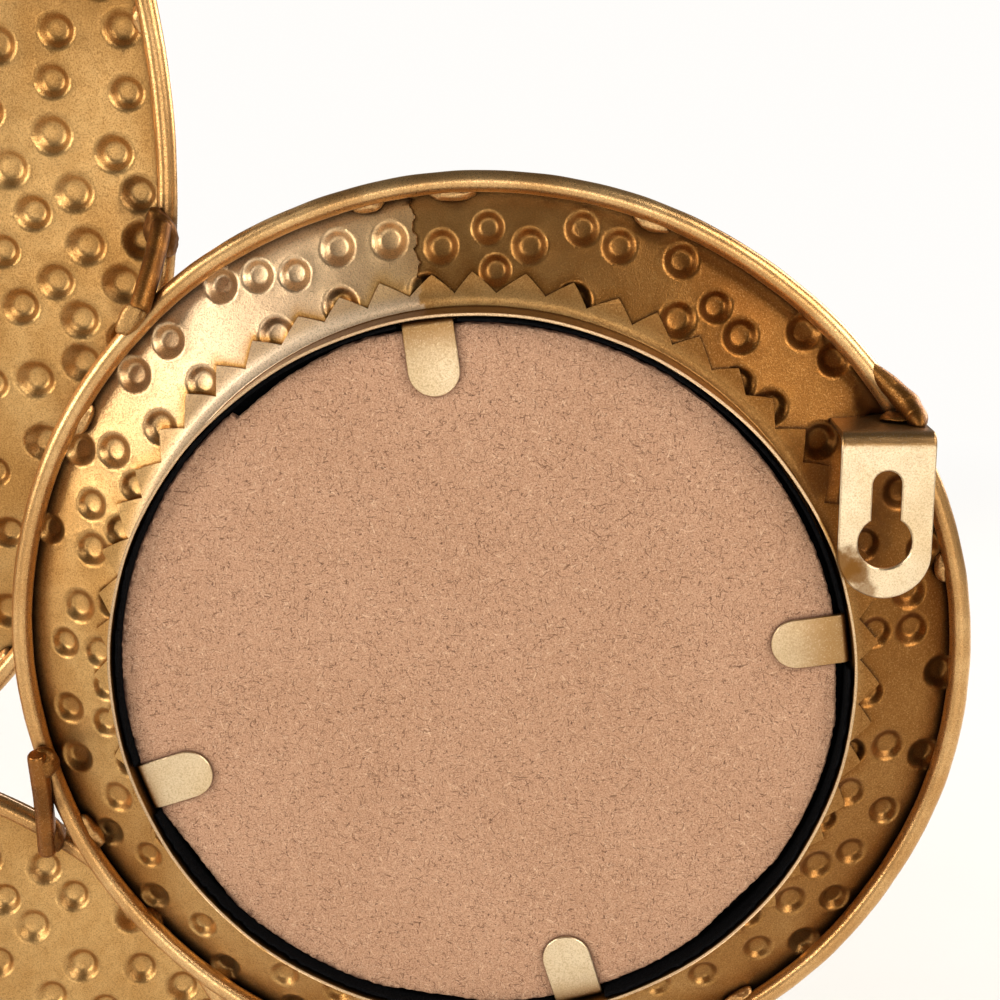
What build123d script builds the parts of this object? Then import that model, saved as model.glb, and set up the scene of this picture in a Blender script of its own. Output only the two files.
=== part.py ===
from build123d import *
import math
import os

# A hammered metal wall mirror: one mirror ring with two plain plates welded to it.
# Lengths are in millimetres. The room side faces -Y, the wall side faces +Y, +Z is up.
# The origin lies on the wall, halfway between the two round keyhole openings.
#
# Everything is drawn looking at the wall side: x runs to the viewer's right, y up and z
# towards the wall. A disc is drawn about its own centre with z = 0 in the plane of its
# rim wire, and REAR_VIEW then turns it into the frame above.

REAR_VIEW = Plane(origin=(0, 0, 0), x_dir=(-1, 0, 0), z_dir=(0, 1, 0)).location

# Where the three discs sit: centre seen from the wall side, and level of the rim wire.
MIRROR_CENTRE = (141.7, -30.2)
MIRROR_LEVEL = -17.3
SMALL_CENTRE = (-9.2, -155.2)
SMALL_LEVEL = -22.45
LARGE_CENTRE = (-90.1, 76.3)
LARGE_LEVEL = -27.6

# Outer radii over the rim wires.
MIRROR_RADIUS = 100.0
SMALL_RADIUS = 100.0
LARGE_RADIUS = 171.0

# Rim wire and sheet, the same on all three discs.
WIRE_RADIUS = 2.1
SHEET_THICKNESS = 0.8
BRIM_WIDTH = 3.5
BRIM_INSET = 1.0
FIT_GAP = 0.05
BRIM_LEVEL = -WIRE_RADIUS - FIT_GAP
SMALL_DEPTH = 8.0
LARGE_DEPTH = 13.0

# Mirror pocket: flat lip with a sloping hammered ring round it.
LIP_LEVEL = 5.0
LIP_RADIUS = 75.9
POCKET_OPENING_RADIUS = 70.0

# Collar round the pocket and its ring of outward-folded teeth.
COLLAR_INNER_RADIUS = 73.8
COLLAR_THICKNESS = 0.6
COLLAR_TOP = 16.0
COLLAR_FILLET = 1.0
TOOTH_COUNT = 55
TOOTH_TIP_RADIUS = 81.2
TOOTH_ROOT_RADIUS = 77.0
FIRST_TOOTH_ANGLE = 4.7
TOOTH_GAP = 0.02

# Layers in the pocket, from the room side to the wall side.
GLASS_RADIUS = 72.5
GLASS_THICKNESS = 3.0
PAD_RADIUS = 72.0
PAD_THICKNESS = 1.8
BOARD_RADIUS = 71.9
BOARD_SHIFT = -0.6
BOARD_THICKNESS = 3.0
BOARD_FLATS = {2: 71.5, 98: 71.4, 126: 70.7, 214: 71.0, 318: 71.0}

# Bendable retaining tabs.
TAB_ANGLES = {"top": 96.6, "outer": 7.8, "inner": 198.8, "bottom": 286.0}
TAB_WIDTH = 10.0
TAB_LENGTH = 15.0
TAB_THICKNESS = 0.8
TAB_OUTER_RADIUS = 73.5
TAB_GAP = 0.05

# Keyhole hangers.
HANGER_SPACING = 440.0
HANGER_WIDTH = 17.6
HANGER_TOP = 21.2
HANGER_BOTTOM = -11.0
HANGER_THICKNESS = 1.2
HANGER_BEND_RADIUS = 2.6
KEYHOLE_RADIUS = 5.15
KEYHOLE_SLOT_RADIUS = 2.8
KEYHOLE_SLOT_RISE = 11.2
MIRROR_FLANGE_DEPTH = 15.3
PLATE_FLANGE_DEPTH = 28.0

# Link rods: centre line ends seen from the wall side, with their levels.
UPPER_ROD_ENDS = ((78.2, 60.0, -23.2), (75.3, 43.6, -12.9))
LOWER_ROD_ENDS = ((46.6, -50.2, -12.2), (44.3, -76.5, -18.9))

# Weld beads.
RIM_BEAD_RADIUS = 1.6
RIM_BEAD_INSET = 5.0
MIRROR_BEAD_ANGLES = (12, 69, 92.4, 102.5, 148, 205, 252, 305)
SMALL_BEAD_ANGLES = (20, 75, 130, 185, 240, 300)
LARGE_BEAD_ANGLES = (8, 48, 90, 135, 180, 222, 268, 318)
LINK_BEADS = (
    ((77.0, 58.4, -25.4), 3.2),
    ((74.6, 43.9, -14.6), 3.6),
    ((47.6, -53.0, -14.4), 3.4),
    ((45.4, -72.6, -19.6), 3.2),
    ((66.2, -92.8, -20.0), 2.6),
)
CROSSING_BEAD_RADIUS = 3.0
HANGER_BEADS = (
    ((225.0, 22.4, -15.4), 2.4),
    ((221.8, 22.4, -16.2), 2.0),
    ((211.8, -2.6, -2.2), 1.8),
    ((-224.5, 22.2, -26.0), 2.3),
    ((-215.5, 22.2, -25.0), 2.3),
)


def ring_profile(points):
    """Turn a closed outline of (radius, level) points into a solid of revolution."""
    outline = Polyline([(radius, 0, level) for radius, level in points], close=True)
    return revolve(make_face(outline), Axis.Z)


def rim_wire(outer_radius):
    """Round wire ring that follows the edge of a disc."""
    return Torus(outer_radius - WIRE_RADIUS, WIRE_RADIUS)


def mirror_ring_sheet():
    """Dished ring: flat brim under the wire, cone, and flat lip that carries the glass."""
    outer = MIRROR_RADIUS - BRIM_INSET
    rear = [
        (outer, BRIM_LEVEL),
        (outer - BRIM_WIDTH, BRIM_LEVEL),
        (LIP_RADIUS, LIP_LEVEL),
        (POCKET_OPENING_RADIUS, LIP_LEVEL),
    ]
    front = [(radius, level - SHEET_THICKNESS) for radius, level in reversed(rear)]
    return ring_profile(rear + front)


def plate_sheet(outer_radius, depth, thickness=SHEET_THICKNESS):
    """Plain dished plate: flat brim under the wire, then one shallow curve."""
    outer = outer_radius - BRIM_INSET
    inner = outer - BRIM_WIDTH
    curve_radius = (inner**2 + depth**2) / (2 * depth)
    half_rise = depth - curve_radius + math.sqrt(curve_radius**2 - (inner / 2) ** 2)

    def curve(level):
        return ThreePointArc(
            (0, 0, level + depth), (inner / 2, 0, level + half_rise), (inner, 0, level)
        )

    rear = BRIM_LEVEL
    front = BRIM_LEVEL - thickness
    outline = [
        curve(rear),
        Line((inner, 0, rear), (outer, 0, rear)),
        Line((outer, 0, rear), (outer, 0, front)),
        Line((outer, 0, front), (inner, 0, front)),
        curve(front),
        Line((0, 0, front + depth), (0, 0, rear + depth)),
    ]
    return revolve(make_face(outline), Axis.Z)


def tooth_outline():
    """Star with one point per tooth, as a flat face."""
    points = []
    step = 360 / TOOTH_COUNT
    for tooth in range(TOOTH_COUNT):
        tip_angle = math.radians(FIRST_TOOTH_ANGLE + tooth * step)
        root_angle = tip_angle + math.radians(step / 2)
        for radius, angle in ((TOOTH_TIP_RADIUS, tip_angle), (TOOTH_ROOT_RADIUS, root_angle)):
            points.append((radius * math.cos(angle), radius * math.sin(angle)))
    return make_face(Polyline(points, close=True))


def mirror_collar():
    """Thin upright band whose foot turns outward into teeth lying on the cone."""
    slope = (LIP_LEVEL - BRIM_LEVEL) / (MIRROR_RADIUS - BRIM_INSET - BRIM_WIDTH - LIP_RADIUS)
    wall = COLLAR_INNER_RADIUS + COLLAR_THICKNESS
    foot = LIP_LEVEL + TOOTH_GAP
    foot_top = foot + COLLAR_THICKNESS
    reach = TOOTH_TIP_RADIUS + 1.0
    drop = (reach - LIP_RADIUS) * slope
    band = ring_profile(
        [
            (COLLAR_INNER_RADIUS, foot),
            (COLLAR_INNER_RADIUS, COLLAR_TOP),
            (wall, COLLAR_TOP),
            (wall, foot_top + COLLAR_FILLET),
            (wall + COLLAR_FILLET, foot_top),
            (LIP_RADIUS, foot_top),
            (reach, foot_top - drop),
            (reach, foot - drop),
            (LIP_RADIUS, foot),
        ]
    )
    return band & extrude(tooth_outline(), amount=COLLAR_TOP + 1)


def mirror_glass():
    """Round mirror glass resting on the lip."""
    glass = Cylinder(GLASS_RADIUS, GLASS_THICKNESS, align=(Align.CENTER, Align.CENTER, Align.MIN))
    return Pos(0, 0, LIP_LEVEL) * chamfer(glass.edges().filter_by(GeomType.CIRCLE), 0.3)


def foam_pad():
    """Soft pad that takes up the play between glass and board."""
    pad = Cylinder(PAD_RADIUS, PAD_THICKNESS, align=(Align.CENTER, Align.CENTER, Align.MIN))
    return Pos(0, 0, LIP_LEVEL + GLASS_THICKNESS) * pad


def backing_board():
    """Hardboard disc, cut by hand so that its edge has a few flats, and set off centre."""
    outline = Circle(BOARD_RADIUS)
    for angle, distance in BOARD_FLATS.items():
        cutter = Rectangle(10, BOARD_RADIUS, align=(Align.MIN, Align.CENTER))
        outline -= Rot(0, 0, angle) * Pos(distance, 0) * cutter
    board = extrude(outline, amount=BOARD_THICKNESS)
    return Pos(BOARD_SHIFT, 0, LIP_LEVEL + GLASS_THICKNESS + PAD_THICKNESS) * board


def board_top():
    """Level of the wall side of the backing board."""
    return LIP_LEVEL + GLASS_THICKNESS + PAD_THICKNESS + BOARD_THICKNESS


def bend_line():
    """Radius and level of the line a retaining tab bends about."""
    half = TAB_THICKNESS / 2
    return TAB_OUTER_RADIUS - half, board_top() + TAB_GAP + half


def tab_foot(angle):
    """Upright part of a retaining tab, from the lip up to the bend line."""
    height = board_top() - LIP_LEVEL
    strip = Box(TAB_THICKNESS, TAB_WIDTH, height, align=(Align.MAX, Align.CENTER, Align.MIN))
    return Rot(0, 0, angle) * Pos(TAB_OUTER_RADIUS, 0, LIP_LEVEL) * strip


def tab_flap(angle):
    """Upper part of a retaining tab, folded over the board, round at its free end."""
    bend_radius, bend_level = bend_line()
    end_radius = TAB_OUTER_RADIUS - TAB_LENGTH + TAB_WIDTH / 2
    straight = bend_radius - end_radius
    strip = Pos(straight / 2, 0, 0) * Box(straight, TAB_WIDTH, TAB_THICKNESS)
    tip = Cylinder(TAB_WIDTH / 2, TAB_THICKNESS)
    knuckle = Pos(bend_radius, 0, 0) * Rot(90, 0, 0) * Cylinder(TAB_THICKNESS / 2, TAB_WIDTH)
    flap = Pos(end_radius, 0, 0) * (strip + tip) + knuckle
    return Rot(0, 0, angle) * Pos(0, 0, bend_level) * flap


def keyhole_hanger(flange_depth):
    """Wall plate with a keyhole, its top edge bent towards the room as a flange.

    Drawn with the centre of the round opening at the origin and the wall at z = 0.
    """
    end_radius = HANGER_WIDTH / 2
    end_centre = HANGER_BOTTOM + end_radius
    straight = HANGER_TOP - end_centre
    outline = Pos(0, end_centre + straight / 2) * Rectangle(HANGER_WIDTH, straight)
    outline += Pos(0, end_centre) * Circle(end_radius)
    outline -= Circle(KEYHOLE_RADIUS)
    outline -= Pos(0, KEYHOLE_SLOT_RISE / 2) * Rectangle(2 * KEYHOLE_SLOT_RADIUS, KEYHOLE_SLOT_RISE)
    outline -= Pos(0, KEYHOLE_SLOT_RISE) * Circle(KEYHOLE_SLOT_RADIUS)
    plate = extrude(outline, amount=-HANGER_THICKNESS)
    flange = Pos(0, HANGER_TOP, 0) * Box(
        HANGER_WIDTH, HANGER_THICKNESS, flange_depth, align=(Align.CENTER, Align.MAX, Align.MAX)
    )
    hanger = plate + flange
    outer_edge = hanger.edges().filter_by(Axis.X).sort_by_distance((0, HANGER_TOP, 0))[0]
    return fillet(outer_edge, HANGER_BEND_RADIUS)


def rod(ends):
    """Short round rod between two points."""
    start = Vector(*ends[0])
    finish = Vector(*ends[1])
    length = (finish - start).length
    along = Plane(origin=start, z_dir=finish - start).location
    body = Cylinder(WIRE_RADIUS, length, align=(Align.CENTER, Align.CENTER, Align.MIN))
    return along * chamfer(body.edges().filter_by(GeomType.CIRCLE), 0.4)


def largest_solid(shape):
    """Main lump of a shape that a cut may have left in pieces."""
    return max(shape.solids(), key=lambda solid: solid.volume)


def weld_bead(centre, radius, neighbours):
    """Lump of weld metal that fills the corner between its neighbours."""
    bead = Pos(*centre) * Sphere(radius)
    for neighbour in neighbours:
        bead -= neighbour
    return largest_solid(bead)


def rim_beads(outer_radius, angles, sheet):
    """Weld beads in the corner between a rim wire and its sheet."""
    wire = rim_wire(outer_radius)
    radius = outer_radius - RIM_BEAD_INSET
    beads = []
    for angle in angles:
        turn = math.radians(angle)
        centre = (radius * math.cos(turn), radius * math.sin(turn), BRIM_LEVEL + 1.2)
        beads.append(weld_bead(centre, RIM_BEAD_RADIUS, (wire, sheet)))
    return beads


def crossing_points(centre_a, radius_a, centre_b, radius_b):
    """The two points where two circles cross."""
    ax, ay = centre_a
    bx, by = centre_b
    apart = math.hypot(bx - ax, by - ay)
    along = (apart**2 + radius_a**2 - radius_b**2) / (2 * apart)
    aside = math.sqrt(radius_a**2 - along**2)
    ux = (bx - ax) / apart
    uy = (by - ay) / apart
    return [
        (ax + along * ux - side * aside * uy, ay + along * uy + side * aside * ux)
        for side in (-1, 1)
    ]


def save(name, shape):
    """Write one node, turned from the rear view into the object's frame."""
    placed = REAR_VIEW * shape
    placed.label = name
    export_step(placed, f"parts/{name}.step")


os.makedirs("parts", exist_ok=True)

at_mirror = Pos(*MIRROR_CENTRE, MIRROR_LEVEL)
at_small = Pos(*SMALL_CENTRE, SMALL_LEVEL)
at_large = Pos(*LARGE_CENTRE, LARGE_LEVEL)

# The three discs, each a sheet with a wire on its edge.
mirror_sheet = at_mirror * mirror_ring_sheet()
mirror_wire = at_mirror * rim_wire(MIRROR_RADIUS)
small_sheet = at_small * plate_sheet(SMALL_RADIUS, SMALL_DEPTH)
small_wire = at_small * rim_wire(SMALL_RADIUS)
large_sheet = at_large * plate_sheet(LARGE_RADIUS, LARGE_DEPTH)
large_wire = at_large * rim_wire(LARGE_RADIUS)
save("mirror_ring_sheet", mirror_sheet)
save("mirror_ring_wire", mirror_wire)
save("small_plate_sheet", small_sheet)
save("small_plate_wire", small_wire)
save("large_plate_sheet", large_sheet)
save("large_plate_wire", large_wire)

# The mirror pocket and what it holds.
collar = at_mirror * mirror_collar()
save("mirror_collar", collar)
save("mirror_glass", at_mirror * mirror_glass())
save("foam_pad", at_mirror * foam_pad())
save("backing_board", at_mirror * backing_board())
for place, angle in TAB_ANGLES.items():
    save(f"tab_foot_{place}", at_mirror * tab_foot(angle))
    save(f"tab_flap_{place}", at_mirror * tab_flap(angle))

# Hangers: one flange ends on the mirror ring's wire, the other on the large sheet.
mirror_wire_room = at_mirror * Torus(MIRROR_RADIUS - WIRE_RADIUS, WIRE_RADIUS + FIT_GAP)
mirror_hanger = Pos(HANGER_SPACING / 2, 0, 0) * keyhole_hanger(MIRROR_FLANGE_DEPTH)
mirror_hanger -= mirror_wire_room
plate_hanger = Pos(-HANGER_SPACING / 2, 0, 0) * keyhole_hanger(PLATE_FLANGE_DEPTH)
plate_hanger -= at_large * plate_sheet(LARGE_RADIUS, LARGE_DEPTH, thickness=PLATE_FLANGE_DEPTH)
save("hanger_mirror_side", mirror_hanger)
save("hanger_plate_side", plate_hanger)

# Link rods, notched where they lie against the mirror ring's wire.
upper_rod = largest_solid(rod(UPPER_ROD_ENDS) - mirror_wire_room)
lower_rod = largest_solid(rod(LOWER_ROD_ENDS) - mirror_wire_room)
save("link_rod_upper", upper_rod)
save("link_rod_lower", lower_rod)

# Weld beads, each cut back to the parts it joins.
steel = [
    mirror_sheet, mirror_wire, small_sheet, small_wire, large_sheet, large_wire,
    collar, mirror_hanger, plate_hanger, upper_rod, lower_rod,
]
mirror_beads = rim_beads(MIRROR_RADIUS, MIRROR_BEAD_ANGLES, mirror_ring_sheet())
small_beads = rim_beads(SMALL_RADIUS, SMALL_BEAD_ANGLES, plate_sheet(SMALL_RADIUS, SMALL_DEPTH))
large_beads = rim_beads(LARGE_RADIUS, LARGE_BEAD_ANGLES, plate_sheet(LARGE_RADIUS, LARGE_DEPTH))
link_beads = [weld_bead(centre, radius, steel) for centre, radius in LINK_BEADS]
for x, y in crossing_points(
    SMALL_CENTRE, SMALL_RADIUS - WIRE_RADIUS, LARGE_CENTRE, LARGE_RADIUS - WIRE_RADIUS
):
    centre = (x, y, SMALL_LEVEL + BRIM_LEVEL - SHEET_THICKNESS)
    link_beads.append(weld_bead(centre, CROSSING_BEAD_RADIUS, steel))
hanger_beads = [weld_bead(centre, radius, steel) for centre, radius in HANGER_BEADS]
save("weld_beads_mirror_ring", Compound(children=[at_mirror * bead for bead in mirror_beads]))
save("weld_beads_small_plate", Compound(children=[at_small * bead for bead in small_beads]))
save("weld_beads_large_plate", Compound(children=[at_large * bead for bead in large_beads]))
save("weld_beads_links", Compound(children=link_beads))
save("weld_beads_hangers", Compound(children=hanger_beads))
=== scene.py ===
import math
import random

import bmesh
import bpy
import numpy as np
from mathutils import Matrix, Vector, noise
from mathutils.geometry import delaunay_2d_cdt


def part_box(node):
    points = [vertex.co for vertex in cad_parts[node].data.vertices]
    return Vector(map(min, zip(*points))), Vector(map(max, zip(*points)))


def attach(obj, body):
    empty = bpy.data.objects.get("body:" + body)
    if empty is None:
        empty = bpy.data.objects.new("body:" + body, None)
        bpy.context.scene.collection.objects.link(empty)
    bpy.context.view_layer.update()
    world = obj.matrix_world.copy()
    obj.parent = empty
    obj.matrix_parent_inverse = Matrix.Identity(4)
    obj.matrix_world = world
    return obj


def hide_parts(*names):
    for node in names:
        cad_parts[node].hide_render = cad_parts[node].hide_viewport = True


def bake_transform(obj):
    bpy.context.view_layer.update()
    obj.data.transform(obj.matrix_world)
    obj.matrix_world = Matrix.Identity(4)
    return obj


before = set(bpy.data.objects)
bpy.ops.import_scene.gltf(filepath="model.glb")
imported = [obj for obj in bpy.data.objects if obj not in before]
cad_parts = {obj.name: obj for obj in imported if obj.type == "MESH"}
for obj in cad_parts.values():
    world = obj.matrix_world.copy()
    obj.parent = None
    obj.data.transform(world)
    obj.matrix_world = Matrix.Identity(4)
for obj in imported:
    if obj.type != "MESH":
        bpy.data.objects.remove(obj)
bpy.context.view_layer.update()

# A hammered, gold painted wall mirror seen mostly from its wall side.
# Shapes are drawn in millimetres looking at the wall side: x to the viewer's right, y up,
# z towards the wall. A disc is drawn about its own centre with z = 0 at its rim wire.

# Disc centres and rim wire levels.
MIRROR_AT = (141.7, -30.2, -17.3)
SMALL_AT = (-9.2, -155.2, -22.45)
LARGE_AT = (-90.1, 76.3, -27.6)

# Sheets and wires.
WIRE_RADIUS = 2.1
SHEET_THICKNESS = 0.8
BRIM_LEVEL = -2.15
BRIM_WIDTH = 3.5
BRIM_INSET = 1.0
MIRROR_RADIUS = 100.0
SMALL_RADIUS = 100.0
LARGE_RADIUS = 171.0
SMALL_DEPTH = 8.0
LARGE_DEPTH = 13.0
LIP_LEVEL = 5.0
LIP_RADIUS = 75.9
OPENING_RADIUS = 70.0

# Collar and teeth.
COLLAR_RADIUS = 74.1
COLLAR_TOP = 16.0
COLLAR_FOLD_RADIUS = 0.7
TOOTH_COUNT = 55
TOOTH_TIP_RADIUS = 81.2
TOOTH_ROOT_RADIUS = 77.0
FIRST_TOOTH_ANGLE = 4.7

# Board, pad and tabs.
PAD_LEVEL = 8.0
PAD_LIFT = 0.45
PAD_SHEET = 0.7
PAD_OUTLINE_RADIUS = 79.7
PAD_TURN_UP_RADIUS = 72.55
PAD_PRESSED_RADIUS = 72.2
PAD_BEND = 0.45
BOARD_LEVEL = 9.8
BOARD_THICKNESS = 3.0
BOARD_RADIUS = 72.1
BOARD_SHIFT = 0.6
BOARD_FLATS = (
    (2, 71.5), (24, 72.1), (47, 72.2), (98, 71.5),
    (152, 71.9), (214, 71.0), (262, 71.3), (318, 71.0),
)
TORN_FROM = 110
TORN_TO = 130.5
TAB_ANGLES = {"top": 96.6, "outer": 7.8, "inner": 198.8, "bottom": 286.0}
TAB_WIDTH = 10.0
TAB_THICKNESS = 0.8
TAB_OUTER_RADIUS = 73.5
TAB_LENGTH = 15.0
TAB_BEND = 0.85
TAB_GAP = 0.05

# Hangers.
HANGER_AT = 220.0
HANGER_WIDTH = 17.6
HANGER_TOP = 21.2
HANGER_BOTTOM = -11.0
HANGER_THICKNESS = 1.2
HANGER_BEND = 2.0
KEYHOLE_RADIUS = 5.15
SLOT_RADIUS = 2.8
SLOT_RISE = 11.2
SLOT_SIDE = (4.9, 10.6)

# Link rods, from end to end of their centre lines.
UPPER_ROD = ((78.2, 60.0, -23.2), (75.3, 43.6, -12.9))
LOWER_ROD = ((46.6, -50.2, -12.2), (44.3, -76.5, -18.9))

# Angles of the weld lumps along each rim, and how far in from it they sit.
RIM_WELD_INSET = 4.1
MIRROR_WELDS = (12, 69, 92.4, 102.5, 148, 205, 252, 305)
SMALL_WELDS = (20, 75, 130, 185, 240, 300)
LARGE_WELDS = (8, 48, 90, 135, 180, 222, 268, 318)


# ---- geometry helpers


def to_row_frame(points):
    """Rear-view millimetres to the row frame in metres."""
    p = np.asarray(points, float)
    return np.stack([-p[:, 0], p[:, 2], p[:, 1]], axis=1) * 0.001


def placed(x, y, z, at=MIRROR_AT):
    """Points about a disc's own centre, moved to where that disc sits."""
    return np.stack([x + at[0], y + at[1], z + at[2]], 1)


def new_object(name, data):
    """Object that shows a mesh, lamp or camera in the scene."""
    obj = bpy.data.objects.new(name, data)
    bpy.context.scene.collection.objects.link(obj)
    return obj


def make_object(name, points, faces, material, sharp=40):
    """Mesh object from rear-view points, smooth shaded except at sharp folds."""
    mesh = bpy.data.meshes.new(name)
    mesh.from_pydata(to_row_frame(points).tolist(), [], faces)
    work = bmesh.new()
    work.from_mesh(mesh)
    bmesh.ops.recalc_face_normals(work, faces=work.faces)
    work.to_mesh(mesh)
    work.free()
    mesh.shade_smooth()
    mesh.set_sharp_from_angle(angle=math.radians(sharp))
    mesh.materials.append(material)
    return new_object(name, mesh)


def add_tone(obj, tone):
    """Stores on each vertex how much darker its colour is painted, given tone(x, y, z) in the rear view;
    the tone holds paint differences as well as painted shade and highlight.
    """
    place = np.zeros(3 * len(obj.data.vertices))
    obj.data.vertices.foreach_get("co", place)
    place = place.reshape(-1, 3) * 1000
    attribute = obj.data.attributes.new("tone", "FLOAT", "POINT")
    attribute.data.foreach_set("value", tone(-place[:, 0], place[:, 2], place[:, 1]))


def ring_points(radius, count, centre=(0.0, 0.0), turn=0.0):
    """Evenly spaced points on a circle, counterclockwise."""
    angle = np.linspace(0, 2 * math.pi, count, endpoint=False) + turn
    return np.stack([centre[0] + radius * np.cos(angle), centre[1] + radius * np.sin(angle)], 1)


def outward(loop):
    """Unit normals of a closed loop, pointing away from the material."""
    along = np.roll(loop, -1, 0) - np.roll(loop, 1, 0)
    normal = np.stack([along[:, 1], -along[:, 0]], 1)
    return normal / np.maximum(np.linalg.norm(normal, axis=1, keepdims=True), 1e-9)


def inside(points, loop):
    """Even-odd test of which points lie inside a closed loop."""
    x, y = points[:, 0], points[:, 1]
    result = np.zeros(len(points), bool)
    for (ax, ay), (bx, by) in zip(loop, np.roll(loop, -1, 0)):
        crosses = (ay > y) != (by > y)
        if crosses.any():
            limit = ax + (y - ay) * (bx - ax) / ((by - ay) or 1e-12)
            result ^= crosses & (x < limit)
    return result


def sheet_object(name, loops, fill, thickness, shape, material, edge=0.12, sharp=40):
    """Sheet with rounded edges. loops are the outline, then the holes (clockwise).

    shape(x, y, offset) maps flat pattern points to rear-view points.
    """
    inset = [loop - outward(loop) * edge for loop in loops]
    flat = np.concatenate(inset + [fill]) if len(fill) else np.concatenate(inset)
    edges = []
    start = 0
    for loop in inset:
        count = len(loop)
        edges += [(start + i, start + (i + 1) % count) for i in range(count)]
        start += count
    result = delaunay_2d_cdt([Vector(p) for p in flat], edges, [], 1, 1e-7)
    flat = np.array([tuple(v) for v in result[0]])
    triangles = np.array(result[2], int)
    middle = flat[triangles].mean(axis=1)
    keep = np.ones(len(triangles), bool)
    for hole in inset[1:]:
        keep &= ~inside(middle, hole)
    triangles = triangles[keep]

    half = thickness / 2
    count = len(flat)
    blocks = [shape(flat[:, 0], flat[:, 1], half), shape(flat[:, 0], flat[:, 1], -half)]
    faces = triangles.tolist() + (triangles[:, ::-1] + count).tolist()
    used = 2 * count
    start = 0
    for loop in loops:
        size = len(loop)
        blocks.append(shape(loop[:, 0], loop[:, 1], half - edge))
        blocks.append(shape(loop[:, 0], loop[:, 1], edge - half))
        rows = (start, used, used + size, count + start)
        for low, high in zip(rows, rows[1:]):
            for i in range(size):
                j = (i + 1) % size
                faces.append((low + i, low + j, high + j, high + i))
        used += 2 * size
        start += size
    return make_object(name, np.concatenate(blocks), faces, material, sharp)


def tube_object(name, paths, material, sides=14):
    """Round bars that follow paths. Each path is (points, radii, closed)."""
    points = []
    faces = []
    for line, radii, closed in paths:
        line = np.asarray(line, float)
        count = len(line)
        if closed:
            along = np.roll(line, -1, 0) - np.roll(line, 1, 0)
        else:
            along = np.gradient(line, axis=0)
        along /= np.linalg.norm(along, axis=1, keepdims=True)
        side = np.cross(along, [0.0, 0.0, 1.0])
        side /= np.linalg.norm(side, axis=1, keepdims=True)
        up = np.cross(side, along)
        base = len(points)
        for k in range(count):
            for s in range(sides):
                turn = 2 * math.pi * s / sides
                reach = side[k] * math.cos(turn) + up[k] * math.sin(turn)
                points.append(line[k] + reach * radii[k])
        last = count if closed else count - 1
        for k in range(last):
            for s in range(sides):
                a = base + k * sides + s
                b = base + k * sides + (s + 1) % sides
                c = base + (k + 1) % count * sides + (s + 1) % sides
                d = base + (k + 1) % count * sides + s
                faces.append((a, b, c, d))
        if not closed:
            faces.append(tuple(base + s for s in range(sides)))
            faces.append(tuple(base + (count - 1) * sides + s for s in range(sides)))
    return make_object(name, np.array(points), faces, material)


def lump_object(name, lumps, material):
    """Weld lumps with a rough, melted surface. Each lump is (centre, (rx, ry, rz), turn)."""
    ball = bmesh.new()
    bmesh.ops.create_icosphere(ball, subdivisions=4, radius=1.0)
    unit = np.array([tuple(v.co) for v in ball.verts])
    triangles = [tuple(v.index for v in f.verts) for f in ball.faces]
    ball.free()
    points = []
    faces = []
    for index, (centre, size, turn) in enumerate(lumps):
        seed = Vector((index * 3.7, 1.3, 0.5))
        rough = np.array([
            1 + 0.22 * noise.noise(Vector(p) * 1.1 + seed) + 0.07 * noise.noise(Vector(p) * 4 + seed)
            for p in unit
        ])
        shape = unit * rough[:, None] * np.array(size)
        c, s = math.cos(math.radians(turn)), math.sin(math.radians(turn))
        turned = shape @ np.array([[c, s, 0], [-s, c, 0], [0, 0, 1]])
        faces += [tuple(v + len(points) * len(unit) for v in t) for t in triangles]
        points.append(turned + np.array(centre))
    return make_object(name, np.concatenate(points), faces, material, sharp=80)


# ---- hammered surfaces


def scatter(seed, count, apart, inner, outer):
    """Hammer marks spread at random over a ring, none closer together than apart."""
    rng = random.Random(seed)
    marks = []
    for _ in range(count * 60):
        radius = math.sqrt(rng.uniform(inner**2, outer**2))
        angle = rng.uniform(0, 2 * math.pi)
        x, y = radius * math.cos(angle), radius * math.sin(angle)
        if len(marks) < count and all(math.hypot(x - m[0], y - m[1]) > apart for m in marks):
            marks.append((x, y, rng.uniform(0.92, 1.08), rng.uniform(0.85, 1.1)))
    return marks


def fall(t, start, end):
    """Smooth step down from 1 at start to 0 at end."""
    share = np.clip((end - t) / (end - start), 0, 1)
    return share * share * (3 - 2 * share)


class Hammered:
    """Wall side of a hammered sheet: a smooth dish, round stepped dents and a slight waviness."""

    def __init__(self, dish, marks, mark_radius, mark_depth, seed):
        self.dish = dish
        self.marks = [(x, y, mark_radius * w, mark_depth * h) for x, y, w, h in marks]
        rng = random.Random(seed)
        self.waves = [
            (rng.uniform(-0.12, 0.12), rng.uniform(-0.12, 0.12), rng.uniform(0, 6.3))
            for _ in range(6)
        ]

    def dents(self, x, y):
        """Depth of the round hammer marks alone."""
        depth = np.zeros_like(x)
        order = np.argsort(x)
        sorted_x = x[order]
        for mx, my, radius, deepest in self.marks:
            low, high = np.searchsorted(sorted_x, [mx - 1.5 * radius, mx + 1.5 * radius])
            at = order[low:high]
            t = np.hypot(x[at] - mx, y[at] - my) / radius
            bowl = np.clip(1 - t**2, 0, 1)
            pit = 0.28 * bowl + 0.72 * fall(t, 0.46, 1.03)
            raised_lip = 0.045 * np.exp(-(((t - 1.10) / 0.07) ** 2))
            depth[at] += deepest * (pit - raised_lip)
        return depth

    def __call__(self, x, y):
        wave = sum(np.sin(a * x + b * y + c) for a, b, c in self.waves) * 0.06
        return self.dish(np.hypot(x, y)) + wave - self.dents(x, y)


def mark_points(marks, rings):
    """Points round each hammer mark, dense where its flank is steep."""
    points = []
    for x, y, radius, _ in marks:
        points.append([[x, y]])
        for share, count in rings:
            points.append(ring_points(radius * share, count, (x, y), share * 7))
    return np.concatenate(points)


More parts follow.
